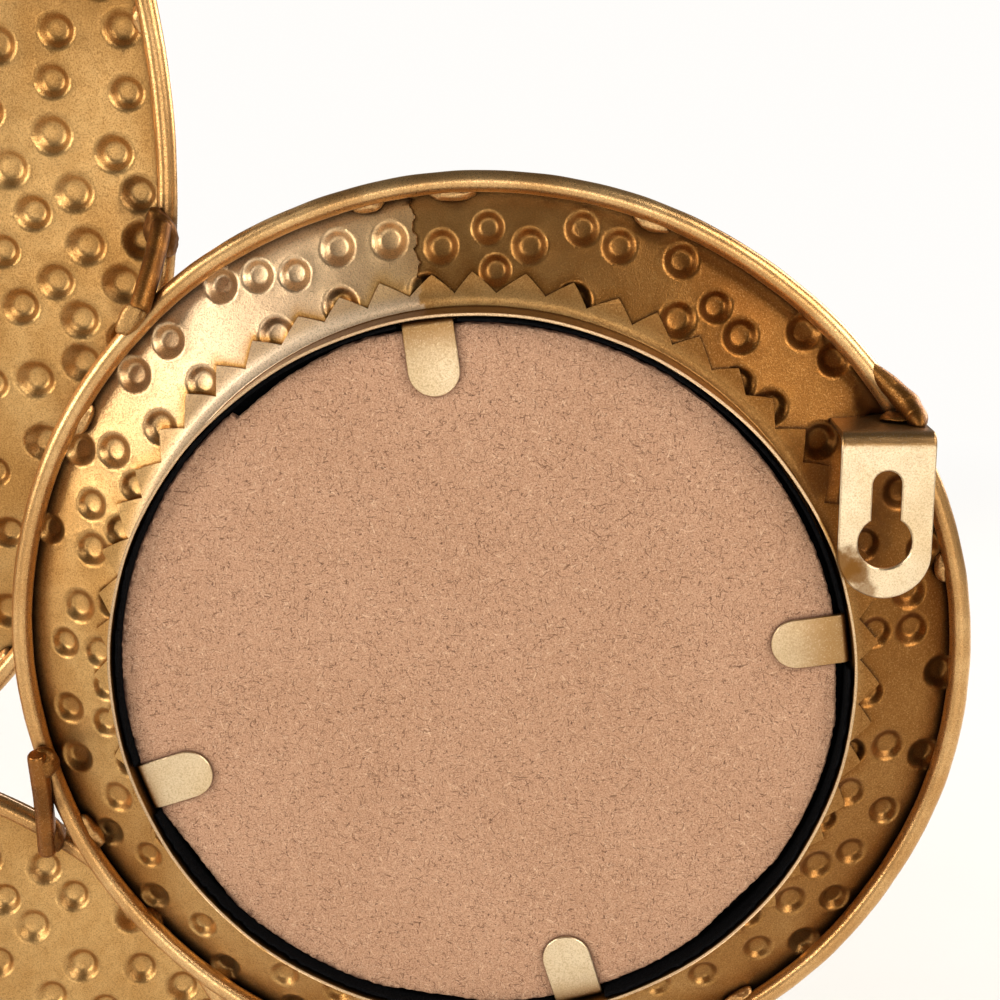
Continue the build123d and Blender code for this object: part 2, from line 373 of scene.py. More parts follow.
def filler(spacing, inner, outer, seed, marks, clear=1.25):
    """Jittered triangular grid over a ring, kept off the hammer marks."""
    rng = np.random.default_rng(seed)
    steps = int(outer / spacing) + 2
    i, j = np.meshgrid(np.arange(-2 * steps, 2 * steps), np.arange(-1.2 * steps, 1.2 * steps))
    grid = np.stack([(i + 0.5 * (j % 2)).ravel() * spacing, j.ravel() * spacing * 0.866], 1)
    grid = within(grid + rng.uniform(-0.2, 0.2, grid.shape) * spacing, inner, outer)
    free = np.ones(len(grid), bool)
    for x, y, size, _ in marks:
        free &= np.hypot(grid[:, 0] - x, grid[:, 1] - y) > size * clear
    return grid[free]


def within(points, inner, outer):
    """The points whose distance from the centre lies between two radii."""
    radius = np.hypot(points[:, 0], points[:, 1])
    return points[(radius > inner) & (radius < outer)]


def mirror_dish(radius):
    """Wall side of the mirror ring sheet: brim, cone and lip."""
    brim = MIRROR_RADIUS - BRIM_INSET - BRIM_WIDTH
    return np.interp(radius, [LIP_RADIUS, brim], [LIP_LEVEL, BRIM_LEVEL])


def plate_dish(outer_radius, depth):
    """Wall side of a plain plate: a flat brim and one shallow curve."""
    inner = outer_radius - BRIM_INSET - BRIM_WIDTH
    curve = (inner**2 + depth**2) / (2 * depth)

    def dish(radius):
        rise = depth - curve + np.sqrt(curve**2 - np.minimum(radius, inner) ** 2)
        return BRIM_LEVEL + rise

    return dish


# Rings of mesh points per hammer mark, as (share of its radius, number of points).
FINE_RINGS = (
    (0.22, 8), (0.40, 14), (0.50, 18), (0.58, 22), (0.66, 24), (0.74, 26),
    (0.82, 28), (0.90, 30), (0.97, 30), (1.03, 30), (1.10, 28), (1.18, 24),
)
MEDIUM_RINGS = (
    (0.3, 8), (0.48, 14), (0.60, 18), (0.72, 20), (0.84, 22), (0.95, 22), (1.04, 22), (1.16, 18),
)
COARSE_RINGS = ((0.46, 8), (0.66, 10), (0.86, 12), (1.03, 14))

MIRROR_SURFACE = Hammered(mirror_dish, scatter(11, 96, 7.5, 77.5, 94.6), 3.45, 1.9, 3)
SMALL_SURFACE = Hammered(
    plate_dish(SMALL_RADIUS, SMALL_DEPTH), scatter(23, 270, 8.7, 0.0, 93.0), 3.8, 2.0, 5,
)
LARGE_SURFACE = Hammered(
    plate_dish(LARGE_RADIUS, LARGE_DEPTH), scatter(37, 820, 8.9, 0.0, 163.5), 3.9, 2.05, 7,
)

# Marks on the plates that lie closer to the mirror ring's centre than this are meshed finer.
NEAR_REACH = 178

# The mirror ring sheet is a strip closed by a ragged lap seam at this angle.
SEAM_ANGLE = 97.6
SEAM_STEP = 0.55


def seam_distance(x, y):
    """Distance from the ragged edge of the lap seam, positive on the side that lies on top."""
    angle = np.degrees(np.arctan2(y, x)) % 360
    radius = np.hypot(x, y)
    ragged = 0.4 * np.sin(radius * 1.45) + 0.14 * np.sin(radius * 3.7 + 1)
    return np.radians(angle - SEAM_ANGLE) * radius + ragged * np.clip((97 - radius) / 3, 0, 1)


# Darkness painted on the ring at angles clockwise from the lap seam: painted shade that darkens its right
# side, and paler paint up to the seam on the left.
RING_TONE_TURNS = (0, 15, 45, 75, 100, 170, 220, 260, 300, 330, 345, 360)
RING_TONES = (0.5, 0.6, 1.0, 1.25, 0.8, 0.3, 0.25, 0.0, -0.05, -0.5, -0.45, -0.25)


def ring_tone(x, y):
    """Darkness painted on the ring: pale paint up to the lap seam, brown beyond it, with painted shade
    darkening its right side.
    """
    dx, dy = x - MIRROR_AT[0], y - MIRROR_AT[1]
    turn = (SEAM_ANGLE - np.degrees(np.arctan2(dy, dx))) % 360
    tone = np.interp(turn, RING_TONE_TURNS, RING_TONES)
    past = seam_distance(dx, dy)
    return np.where(np.abs(past) < 2, np.where(past > 0, RING_TONES[-1], RING_TONES[0]), tone)


def line_distance(x, y, line):
    """Distance from points to an open line through the rows of line."""
    nearest = np.full(len(x), 1e9)
    for (ax, ay), (bx, by) in zip(line, line[1:]):
        dx, dy = bx - ax, by - ay
        share = np.clip(((x - ax) * dx + (y - ay) * dy) / (dx * dx + dy * dy), 0, 1)
        nearest = np.minimum(nearest, np.hypot(x - ax - share * dx, y - ay - share * dy))
    return nearest


def mirror_ring_sheet(material):
    """Hammered ring that carries the mirror: dished, with a lap seam near the top."""
    inner = OPENING_RADIUS
    outer = MIRROR_RADIUS - BRIM_INSET
    loops = [ring_points(outer, 420), ring_points(inner, 300)[::-1]]
    marks = mark_points(MIRROR_SURFACE.marks, FINE_RINGS)
    fill = np.concatenate([marks, filler(2.2, inner, outer, 9, MIRROR_SURFACE.marks)])
    fill = within(fill, inner + 0.5, outer - 0.5)
    fill = fill[np.abs(seam_distance(fill[:, 0], fill[:, 1])) > 0.45]
    radius = np.arange(inner + 0.6, outer - 0.5, 0.3)
    for aside in (-0.3, -0.06, 0.06, 0.3):
        angle = np.full_like(radius, math.radians(SEAM_ANGLE))
        line = np.stack([radius * np.cos(angle), radius * np.sin(angle)], 1)
        shift = (aside - seam_distance(line[:, 0], line[:, 1])) / radius
        line = np.stack([radius * np.cos(angle + shift), radius * np.sin(angle + shift)], 1)
        fill = np.concatenate([fill, line])
    teeth = tooth_line()
    steps = np.linspace(0, 1, 6, endpoint=False)
    along = np.concatenate([a + (b - a) * steps[:, None] for a, b in zip(teeth, teeth[1:])])
    out = outward(along)
    fill = np.concatenate([fill] + [along + out * shift for shift in (-0.1, 0.25, 0.6, 1.0)])

    def shape(x, y, offset):
        past = seam_distance(x, y)
        step = np.where(past > 0, SEAM_STEP * np.exp(-np.clip(past, 0, None) / 9), 0)
        under_wire = np.clip((96.5 - np.hypot(x, y)) / 2, 0, 1)
        above_lip = np.clip((np.hypot(x, y) - 76.5) / 2, 0, 1)
        z = MIRROR_SURFACE(x, y) + step * under_wire * above_lip - SHEET_THICKNESS / 2 + offset
        return placed(x, y, z)

    def tone(x, y, z):
        dx, dy = x - MIRROR_AT[0], y - MIRROR_AT[1]
        gap = line_distance(dx, dy, teeth)
        wall_side = z > MIRROR_AT[2] + MIRROR_SURFACE(dx, dy) - SHEET_THICKNESS / 2
        # Painted shade along the edges of the teeth, on the wall side only.
        painted_shade_beside_teeth = 1.1 * np.exp(-((gap / 0.45) ** 2)) + 0.35 * np.exp(-((gap / 1.4) ** 2))
        return np.where(wall_side, ring_tone(x, y) + painted_shade_beside_teeth, 0.0)

    ring = sheet_object("mirror_ring_hammered_sheet", loops, fill, SHEET_THICKNESS, shape, material)
    add_tone(ring, tone)
    return ring


def plate_sheet(name, surface, at, rim_radius, spacing, material):
    """Hammered plate, meshed finer where it comes close to the mirror ring."""
    outer = rim_radius - BRIM_INSET
    towards = (MIRROR_AT[0] - at[0], MIRROR_AT[1] - at[1])
    near = [m for m in surface.marks if math.hypot(m[0] - towards[0], m[1] - towards[1]) < NEAR_REACH]
    far = [m for m in surface.marks if m not in near]
    fill = np.concatenate([
        mark_points(near, MEDIUM_RINGS),
        mark_points(far, COARSE_RINGS),
        filler(spacing, -1.0, outer, 9, surface.marks),
    ])

    def shape(x, y, offset):
        z = surface(x, y) - SHEET_THICKNESS / 2 + offset
        return placed(x, y, z, at)

    loops = [ring_points(outer, int(outer * 3.6))]
    return sheet_object(name, loops, within(fill, -1.0, outer - 0.5), SHEET_THICKNESS, shape, material)


# ---- materials


WHITE_SURROUNDINGS = (1.0, 0.985, 0.96, 1.0)


def new_material(name):
    """Empty node material with a Principled shader."""
    material = bpy.data.materials.new(name)
    material.use_nodes = True
    tree = material.node_tree
    tree.nodes.clear()
    output = tree.nodes.new("ShaderNodeOutputMaterial")
    shader = tree.nodes.new("ShaderNodeBsdfPrincipled")
    tree.links.new(shader.outputs["BSDF"], output.inputs["Surface"])
    return material, tree, shader


def add_node(tree, kind, inputs, **settings):
    """New shader node. Each of its inputs is given a socket to link or a plain value."""
    node = tree.nodes.new(f"ShaderNode{kind}")
    for name, value in settings.items():
        setattr(node, name, value)
    for key, value in inputs.items():
        if isinstance(value, bpy.types.NodeSocket):
            tree.links.new(value, node.inputs[key])
        else:
            node.inputs[key].default_value = value
    return node


def place_node(tree):
    """Position on the object, in millimetres."""
    here = add_node(tree, "TexCoord", {}).outputs["Object"]
    return add_node(tree, "VectorMath", {0: here, "Scale": 1000}, operation="SCALE").outputs[0]


def noise_node(tree, place, scale, detail=4.0, rough=0.5, distortion=0.0):
    """Noise of a given number of features per millimetre."""
    inputs = {"Vector": place, "Scale": scale, "Detail": detail, "Roughness": rough}
    return add_node(tree, "TexNoise", inputs | {"Distortion": distortion}).outputs["Fac"]


def range_node(tree, value, low, high, out_low=0.0, out_high=1.0):
    """Stretches low..high of a value onto out_low..out_high."""
    inputs = {"Value": value, "From Min": low, "From Max": high, "To Min": out_low, "To Max": out_high}
    return add_node(tree, "MapRange", inputs, interpolation_type="SMOOTHSTEP").outputs["Result"]


def mix_node(tree, factor, first, second, blend="MIX"):
    """Mix of two colours; each is a socket or an (r, g, b) colour."""
    first, second = [(*c, 1.0) if isinstance(c, tuple) else c for c in (first, second)]
    inputs = {"Factor": factor, "A": first, "B": second}
    return add_node(tree, "Mix", inputs, data_type="RGBA", blend_type=blend).outputs["Result"]


def math_node(tree, operation, first, second=0.0):
    """Arithmetic on two values; each is a socket or a number."""
    return add_node(tree, "Math", {0: first, 1: second}, operation=operation).outputs[0]


def bump_node(tree, shader, height, strength, distance=0.0002):
    """Fine relief on a shader's surface."""
    relief = add_node(tree, "Bump", {"Height": height, "Strength": strength, "Distance": distance})
    tree.links.new(relief.outputs["Normal"], shader.inputs["Normal"])


def corner_shade(tree, reach, strength):
    """Grows towards strength in corners and beside raised edges; reach is in metres."""
    corner = add_node(tree, "AmbientOcclusion", {"Distance": reach}, samples=6)
    return range_node(tree, corner.outputs["AO"], 0.32, 0.92, strength, 0.0)


def spot_mask(tree, place, centre, radius, wander):
    """1 inside a ragged spot round a rear-view point, 0 outside."""
    at = to_row_frame([centre])[0] * 1000
    gap = add_node(tree, "VectorMath", {0: place, 1: at}, operation="DISTANCE")
    ragged = math_node(tree, "MULTIPLY_ADD", wander, radius * 1.2)
    tree.links.new(gap.outputs["Value"], ragged.node.inputs[2])
    return range_node(tree, ragged, radius * 1.15, radius * 1.75, 1.0, 0.0)


# Paint shades as deep, middle and pale linear colours.
DARK_GOLD = ((0.12, 0.048, 0.010), (0.44, 0.222, 0.062), (0.60, 0.355, 0.130))
BRIGHT_GOLD = ((0.20, 0.080, 0.022), (0.56, 0.300, 0.105), (0.78, 0.49, 0.215))
# The hangers and tabs get this paler copy of the same gold paint: painted light, as they face the light
# more than the sheets.
PALE_GOLD_PAINTED_LIT = ((0.36, 0.21, 0.085), (0.72, 0.535, 0.31), (0.82, 0.66, 0.44))
# Paler paint beside the lap seam and on the speckled band, also used as the painted highlight on the
# collar's rolled edge.
PALE_PAINT_AND_HIGHLIGHT = (0.93, 0.75, 0.54)
BROWN_GOLD = (0.18, 0.075, 0.013)
# Soot of the heat stains, also the colour of painted shade where the tone runs past one.
SOOT_AND_SHADE = (0.085, 0.030, 0.006)


def gold_paint(name, deep, mid, pale, rough=0.4, stains_and_shadows=(), spot_colour=SOOT_AND_SHADE, grain=0.5, relief=0.45):
    """Satin metallic paint: speckled flakes over slow patches, with painted shade in corners, the tone
    attribute painted on as paint differences, painted shade and painted highlight, and spots of stain and
    painted shadow.

    The spots are (rear-view centre, radius, strength).
    """
    material, tree, shader = new_material(name)
    place = place_node(tree)
    flakes = noise_node(tree, place, 3.1, 2.0, 0.8)
    mottle = noise_node(tree, place, 0.35, 4.0, 0.6)
    patches = noise_node(tree, place, 0.035, 3.0, 0.5, 0.6)
    base = mix_node(tree, range_node(tree, patches, 0.35, 0.65), mid, pale)
    base = mix_node(tree, range_node(tree, mottle, 0.35, 0.75, 0.0, 0.45), base, mid)
    # The tone attribute paints darker above zero, towards the shade colour past one, and paler below zero:
    # paint differences, painted shade and painted highlight.
    tone = add_node(tree, "Attribute", {}, attribute_name="tone").outputs["Fac"]
    darker = mix_node(tree, 1.0, base, (0.50, 0.355, 0.205), "MULTIPLY")
    base = mix_node(tree, range_node(tree, tone, 0.0, 1.0), base, darker)
    base = mix_node(tree, range_node(tree, tone, 1.0, 2.2), base, SOOT_AND_SHADE)
    base = mix_node(tree, range_node(tree, tone, -1.0, 0.0, 1.0, 0.0), base, PALE_PAINT_AND_HIGHLIGHT)
    base = mix_node(tree, range_node(tree, flakes, 0.42, 0.70, 0.0, grain), base, deep)
    base = mix_node(tree, range_node(tree, flakes, 0.28, 0.46, 0.8 * grain, 0.0), base, pale)
    # Painted shade in corners and beside raised edges.
    base = mix_node(tree, corner_shade(tree, 0.0022, 0.92), base, tuple(0.25 * c for c in deep))
    # Spots of heat stain, and of painted shadow where the list holds them.
    for centre, radius, strength in stains_and_shadows:
        mask = spot_mask(tree, place, centre, radius, mottle)
        base = mix_node(tree, math_node(tree, "MULTIPLY", mask, strength), base, spot_colour)
    tree.links.new(base, shader.inputs["Base Color"])
    shader.inputs["Metallic"].default_value = 0.93
    rough_value = range_node(tree, flakes, 0.3, 0.75, rough - 0.06, rough + 0.1)
    tree.links.new(rough_value, shader.inputs["Roughness"])
    bump_node(tree, shader, flakes, relief, 0.00012)
    return material


def fibre_mask(tree, place, angle, thin, share, seed):
    """Thin short fibres lying one way across a board."""
    moved = (seed * 13.7, seed * 5.1, seed * 3.3)
    turned = (0, math.radians(angle), 0)
    turn = add_node(tree, "Mapping", {"Vector": place, "Location": moved, "Rotation": turned})
    squeeze = add_node(
        tree, "VectorMath", {0: turn.outputs[0], 1: (0.5, 1.0, thin)}, operation="MULTIPLY",
    )
    strands = noise_node(tree, squeeze.outputs[0], 1.0, 2.0, 0.6, 0.9)
    return range_node(tree, strands, share, share + 0.06)


def hardboard():
    """Pressed fibre board: pinkish tan with dark and pale fibres and specks."""
    material, tree, shader = new_material("hardboard_fibre")
    place = place_node(tree)
    fine = noise_node(tree, place, 3.1, 2.0, 0.75)
    cloud = noise_node(tree, place, 0.04, 3.0, 0.5)
    base = mix_node(tree, range_node(tree, cloud, 0.3, 0.7), (0.50, 0.280, 0.165), (0.53, 0.302, 0.182))
    base = mix_node(tree, range_node(tree, fine, 0.45, 0.70, 0.0, 0.75), base, (0.25, 0.115, 0.06))
    base = mix_node(tree, range_node(tree, fine, 0.28, 0.47, 0.45, 0.0), base, (0.86, 0.57, 0.38))
    for index, angle in enumerate((20, 65, 110, 155)):
        pale = fibre_mask(tree, place, angle, 3.4, 0.64, index + 11)
        base = mix_node(tree, math_node(tree, "MULTIPLY", pale, 0.45), base, (0.86, 0.60, 0.40))
    for index, angle in enumerate((5, 40, 75, 100, 135, 170)):
        dark = fibre_mask(tree, place, angle, 3.0, 0.635, index + 1)
        base = mix_node(tree, math_node(tree, "MULTIPLY", dark, 0.75), base, (0.14, 0.06, 0.03))
    specks = noise_node(tree, place, 1.5, 1.0, 0.5)
    base = mix_node(tree, range_node(tree, specks, 0.68, 0.74, 0.0, 0.75), base, (0.11, 0.045, 0.025))
    # Painted shade in corners and beside the tabs and the pad's turned-up edge.
    base = mix_node(tree, corner_shade(tree, 0.0018, 0.8), base, (0.09, 0.035, 0.025))
    tree.links.new(base, shader.inputs["Base Color"])
    shader.inputs["Roughness"].default_value = 0.86
    shader.inputs["Specular IOR Level"].default_value = 0.25
    bump_node(tree, shader, fine, 0.6, 0.0002)
    return material


def black_pad():
    """Matte black fibre pad."""
    material, tree, shader = new_material("black_fibre_pad")
    place = place_node(tree)
    fuzz = noise_node(tree, place, 3.2, 5.0, 0.7)
    light = range_node(tree, fuzz, 0.3, 0.75)
    base = mix_node(tree, light, (0.001, 0.001, 0.0012), (0.009, 0.009, 0.010))
    tree.links.new(base, shader.inputs["Base Color"])
    shader.inputs["Roughness"].default_value = 1.0
    shader.inputs["Specular IOR Level"].default_value = 0.05
    bump_node(tree, shader, fuzz, 0.9, 0.0005)
    return material


def mirror_glass():
    """Silvered glass with faint haze."""
    material, tree, shader = new_material("silvered_glass")
    place = place_node(tree)
    haze = noise_node(tree, place, 0.03, 5.0, 0.6, 0.4)
    base = mix_node(tree, haze, (0.82, 0.86, 0.87), (0.90, 0.92, 0.93))
    tree.links.new(base, shader.inputs["Base Color"])
    shader.inputs["Metallic"].default_value = 1.0
    tree.links.new(range_node(tree, haze, 0.3, 0.8, 0.015, 0.05), shader.inputs["Roughness"])
    return material


def pale_floor():
    """Matte pale floor that fades into the white surroundings far from the object."""
    material, tree, shader = new_material("pale_floor")
    place = place_node(tree)
    cloud = noise_node(tree, place, 0.01, 3.0, 0.5)
    base = mix_node(tree, cloud, (0.80, 0.80, 0.79), (0.84, 0.84, 0.83))
    tree.links.new(base, shader.inputs["Base Color"])
    shader.inputs["Roughness"].default_value = 0.8
    distance = add_node(tree, "VectorMath", {0: place}, operation="LENGTH")
    far = range_node(tree, distance.outputs["Value"], 450, 1500)
    path = add_node(tree, "LightPath", {})
    glow = add_node(tree, "Emission", {"Color": WHITE_SURROUNDINGS})
    share = math_node(tree, "MULTIPLY", far, path.outputs["Is Camera Ray"])
    fade = add_node(tree, "MixShader", {0: share, 1: shader.outputs[0], 2: glow.outputs[0]})
    output = next(node for node in tree.nodes if node.type == "OUTPUT_MATERIAL")
    tree.links.new(fade.outputs[0], output.inputs["Surface"])
    return material


# ---- parts


def wire_line(at, outer_radius, angle, wobble):
    """Centre line of a rim wire at the given angles."""
    radius = outer_radius - WIRE_RADIUS + wobble
    return np.stack([
        at[0] + radius * np.cos(angle),
        at[1] + radius * np.sin(angle),
        at[2] + 0.3 * wobble,
    ], 1)


def rim_wire(name, at, outer_radius, seed, material, gap=None):
    """Rim wire: a hand-bent round wire, slightly uneven. gap is an opening in degrees, if any."""
    count = int(outer_radius * 4)
    if gap:
        angle = np.radians(np.linspace(gap[1], gap[0] + 360, count))
    else:
        angle = np.linspace(0, 2 * math.pi, count, endpoint=False)
    rng = random.Random(seed)
    wobble = sum(
        rng.uniform(0.02, 0.07) * np.sin(k * angle + rng.uniform(0, 6.3)) for k in (3, 5, 8, 13)
    )
    girth = WIRE_RADIUS * (1 + 0.012 * np.sin(41 * angle) + 0.01 * np.sin(67 * angle + 1))
    return tube_object(
        name, [(wire_line(at, outer_radius, angle, wobble), girth, not gap)], material, sides=20,
    )


class CollarSection:
    """Collar cut along a radius: upright wall, fold, short flat and a foot on the cone."""

    foot = LIP_LEVEL + 0.32
    wall = COLLAR_TOP - foot - COLLAR_FOLD_RADIUS
    fold = wall + COLLAR_FOLD_RADIUS * math.pi / 2
    flat = fold + LIP_RADIUS - COLLAR_RADIUS - COLLAR_FOLD_RADIUS
    slope = math.atan2(LIP_LEVEL - BRIM_LEVEL, MIRROR_RADIUS - BRIM_INSET - BRIM_WIDTH - LIP_RADIUS)

    @classmethod
    def depth(cls, radius):
        """Distance along the section, from the top edge, at which the foot reaches a radius."""
        return cls.flat + (radius - LIP_RADIUS) / math.cos(cls.slope)

    @classmethod
    def place(cls, t, offset):
        """Radius and level at a distance t along the section; offset is towards its outside."""
        turn = np.clip((t - cls.wall) / COLLAR_FOLD_RADIUS, 0, math.pi / 2)
        reach = COLLAR_FOLD_RADIUS - offset
        past = np.clip(t - cls.flat, 0, None)
        radius = COLLAR_RADIUS + COLLAR_FOLD_RADIUS - reach * np.cos(turn)
        radius += np.clip(t - cls.fold, 0, cls.flat - cls.fold) + past * math.cos(cls.slope)
        level = cls.foot + COLLAR_FOLD_RADIUS - reach * np.sin(turn)
        level += np.clip(cls.wall - t, 0, None) - past * math.sin(cls.slope)
        return radius, level


TOOTH_STEP = 360 / TOOTH_COUNT
TOOTH_START = FIRST_TOOTH_ANGLE + 38.5 * TOOTH_STEP


def tooth_edge():
    """Zigzag of the teeth as (degrees, distance down the section) points."""
    rng = random.Random(4)
    root = CollarSection.depth(TOOTH_ROOT_RADIUS)
    tip = CollarSection.depth(TOOTH_TIP_RADIUS)
    line = []
    for tooth in range(TOOTH_COUNT):
        angle = TOOTH_START + tooth * TOOTH_STEP
        line.append((angle + rng.uniform(-0.5, 0.5) * min(tooth, 1), root + rng.uniform(-0.4, 0.2)))
        line.append((angle + TOOTH_STEP / 2 + rng.uniform(-0.5, 0.5), tip + rng.uniform(-1.1, 0.35)))
    line.append((TOOTH_START + 360, root))
    return np.array(line)


def tooth_line():
    """The same zigzag seen from the wall, about the centre of the ring."""
    zigzag = tooth_edge()
    radius = CollarSection.place(zigzag[:, 1], 0.0)[0]
    angle = np.radians(zigzag[:, 0])
    return np.stack([radius * np.cos(angle), radius * np.sin(angle)], 1)


def toothed_collar(material):
    """Band cut with teeth along one edge, rolled up and folded out over the sheet."""
    rng = random.Random(5)
    root = CollarSection.depth(TOOTH_ROOT_RADIUS)
    tip = CollarSection.depth(TOOTH_TIP_RADIUS)
    degrees = math.degrees(1 / COLLAR_RADIUS)
    zigzag = tooth_edge() / np.array([degrees, 1.0])
    cut = [a + (b - a) * k / 6 for a, b in zip(zigzag, zigzag[1:]) for k in range(6)]
    left, right = zigzag[0, 0], zigzag[-1, 0]
    top = [(s, 0.0) for s in np.linspace(right, left, 500)]
    rising = [(right, t) for t in np.linspace(root, 0.8, 14)]
    falling = [(left, t) for t in np.linspace(0.8, root - 0.8, 14)]
    outline = np.array([tuple(p) for p in cut] + rising + top + falling)

    def rows(levels, spacing):
        s, t = np.meshgrid(np.arange(left + 0.6, right - 0.6, spacing), levels)
        return np.stack([s.ravel(), t.ravel()], 1)

    bend = np.linspace(CollarSection.wall - 0.1, CollarSection.fold + 0.1, 7)
    foot = np.arange(CollarSection.fold + 0.5, tip, 0.7)
    fill = np.concatenate([rows((0.45, 2.5, 5.0, 7.5), 2.0), rows(bend, 0.9), rows(foot, 0.8)])
    limit = np.interp(fill[:, 0], zigzag[:, 0], zigzag[:, 1])
    fill = fill[fill[:, 1] < limit - 0.35]
    lifts = np.array([rng.uniform(0.15, 0.5) + 0.5 * rng.random() ** 3 for _ in range(TOOTH_COUNT)])
    leans = np.array([rng.uniform(-0.25, 0.25) for _ in range(TOOTH_COUNT)])

    def shape(s, t, offset):
        angle = np.radians(s * degrees)
        radius, level = CollarSection.place(t, offset)
        standing = np.clip(1 - t / CollarSection.wall, 0, 1)
        uneven = 0.2 * np.sin(2 * angle + 0.6) + 0.12 * np.sin(5 * angle) + 0.05 * np.sin(19 * angle)
        radius += uneven * standing
        along = (s * degrees - TOOTH_START) / TOOTH_STEP
        tooth = np.floor(along).astype(int) % TOOTH_COUNT
        out = np.clip((t - root + 0.6) / (tip - root), 0, 1)
        level += 0.12 * out + lifts[tooth] * out**2 + leans[tooth] * (along % 1 - 0.5) * out
        x, y = radius * np.cos(angle), radius * np.sin(angle)
        return placed(x, y, level)

    def tone(x, y, z):
        radius = np.hypot(x - MIRROR_AT[0], y - MIRROR_AT[1])
        # Painted highlight along the rolled top edge and the standing wall below it painted darker; beyond
        # the wall, the ring's tone, paler on a speckled band at the foot of the teeth.
        edge = z > MIRROR_AT[2] + COLLAR_TOP - 0.25
        wall = np.where(edge, -0.45, 0.75)
        speckled = 0.3 * fall(radius, 76.0, 78.5)
        return np.where(radius < COLLAR_RADIUS + 0.5, wall, 0.9 * ring_tone(x, y) - speckled)

    collar = sheet_object("mirror_collar_toothed_band", [outline], fill, 0.6, shape, material, edge=0.1)
    add_tone(collar, tone)
    return collar


def clear_of(points, loops, gap):
    """The points inside the first loop, outside the others, and off their edges."""
    keep = inside(points, loops[0])
    for hole in loops[1:]:
        keep &= ~inside(points, hole)
    points = points[keep]
    edge = np.concatenate(loops)
    near = np.array([np.min(np.hypot(edge[:, 0] - x, edge[:, 1] - y)) for x, y in points])
    return points[near > gap]


def grid(low, high, spacing, seed=1, jitter=0.15):
    """Slightly uneven square grid between two corners."""
    rng = np.random.default_rng(seed)
    x, y = np.meshgrid(np.arange(low[0], high[0], spacing), np.arange(low[1], high[1], spacing))
    points = np.stack([x.ravel(), y.ravel()], 1)
    return points + rng.uniform(-jitter, jitter, points.shape) * spacing


def ragged_disc(radius, count, slow, fast, seed, flats=()):
    """Outline of a hand-cut disc. flats are (angle, distance) pairs of straight cuts."""
    rng = np.random.default_rng(seed)
    angle = np.linspace(0, 2 * math.pi, count, endpoint=False)
    line = np.full(count, float(radius))
    for k in range(2, 9):
        line += slow / k * rng.uniform(0.5, 1.5) * np.sin(k * angle + rng.uniform(0, 6.3))
    for at, distance in flats:
        lean = np.cos(angle - math.radians(at))
        line = np.where(lean > 0.8, np.minimum(line, distance / np.maximum(lean, 0.8)), line)
    rough = rng.normal(0, 1, count)
    line += fast * (rough + np.roll(rough, 1) + np.roll(rough, 2)) / 2
    return np.stack([line * np.cos(angle), line * np.sin(angle)], 1)


def backing_board(material):
    """Hardboard disc with a rough, hand-cut edge."""
    outline = ragged_disc(BOARD_RADIUS, 1100, 0.25, 0.07, 8, BOARD_FLATS)
    angle = np.degrees(np.arctan2(outline[:, 1], outline[:, 0]))
    in_notch = (angle > TORN_FROM) & (angle < TORN_TO)
    torn = np.where(in_notch, (angle - TORN_FROM) / (TORN_TO - TORN_FROM), 0)
    outline *= (1 - 0.022 * torn)[:, None]
    fill = clear_of(grid((-73, -73), (73, 73), 2.0), [outline], 0.5)

    def shape(x, y, offset):
        x = x - BOARD_SHIFT
        crumble = np.clip((np.hypot(x, y) - 69.5) / 2, 0, 1)
        z = offset - 0.12 * crumble * (1 + np.sin(x * 2.1) * np.sin(y * 2.7)) * np.sign(offset)
        z = z + BOARD_LEVEL + BOARD_THICKNESS / 2
        return placed(x, y, z)

    return sheet_object(
        "backing_board_hardboard", [outline], fill, BOARD_THICKNESS, shape, material, edge=0.35,
    )


def fibre_pad(material):
    """Black pad under the board, its edge turned up between the board and the collar."""
    outline = ragged_disc(PAD_OUTLINE_RADIUS, 900, 0.3, 0.22, 21)
    for angle in TAB_ANGLES.values():
        aim = np.array([math.cos(math.radians(angle)), math.sin(math.radians(angle))])
        out = outline @ aim
        across = outline @ np.array([-aim[1], aim[0]])
        pressed = (out > 0) & (np.abs(across) < TAB_WIDTH / 2 + 0.9)
        outline[pressed] -= np.clip(out[pressed] - PAD_PRESSED_RADIUS, 0, None)[:, None] * aim
    edge = clear_of(within(grid((-80, -80), (80, 80), 0.8, jitter=0.3), 68.5, 80), [outline], 0.3)
    centre = within(grid((-70, -70), (70, 70), 6.0), -1, 67)
    fill = np.concatenate([edge, centre])

    def shape(x, y, offset):
        fuzz = np.array([noise.noise(Vector((px, py, 0.0)) * 1.3) for px, py in zip(x, y)])
        spread = np.hypot(x, y)
        turn = np.clip((spread - PAD_TURN_UP_RADIUS) / PAD_BEND, 0, math.pi / 2)
        reach = PAD_BEND - offset - 0.12 * fuzz * np.sign(offset)
        radius = np.minimum(spread, PAD_TURN_UP_RADIUS) + reach * np.sin(turn)
        standing = np.clip(spread - PAD_TURN_UP_RADIUS - PAD_BEND * math.pi / 2, 0, None)
        rise = PAD_BEND - reach * np.cos(turn) + standing
        along = radius / np.maximum(spread, 1e-6)
        z = rise + PAD_LEVEL + PAD_LIFT
        return placed(x * along, y * along, z)

    return sheet_object("black_fibre_pad", [outline], fill, PAD_SHEET, shape, material, edge=0.2)


# Painted shade on each tab, from its bend to its free end: darkest at the bend, and darker on some tabs
# than others as the light falls on them.
TAB_PAINTED_SHADE = {
    "top": (1.3, 0.9, 0.5, 0.15, 0.0),
    "outer": (1.4, 1.1, 0.8, 0.5, 0.3),
    "inner": (0.8, 0.3, 0.05, 0.0, -0.1),
    "bottom": (0.9, 0.6, 0.2, 0.0, 0.0),
}


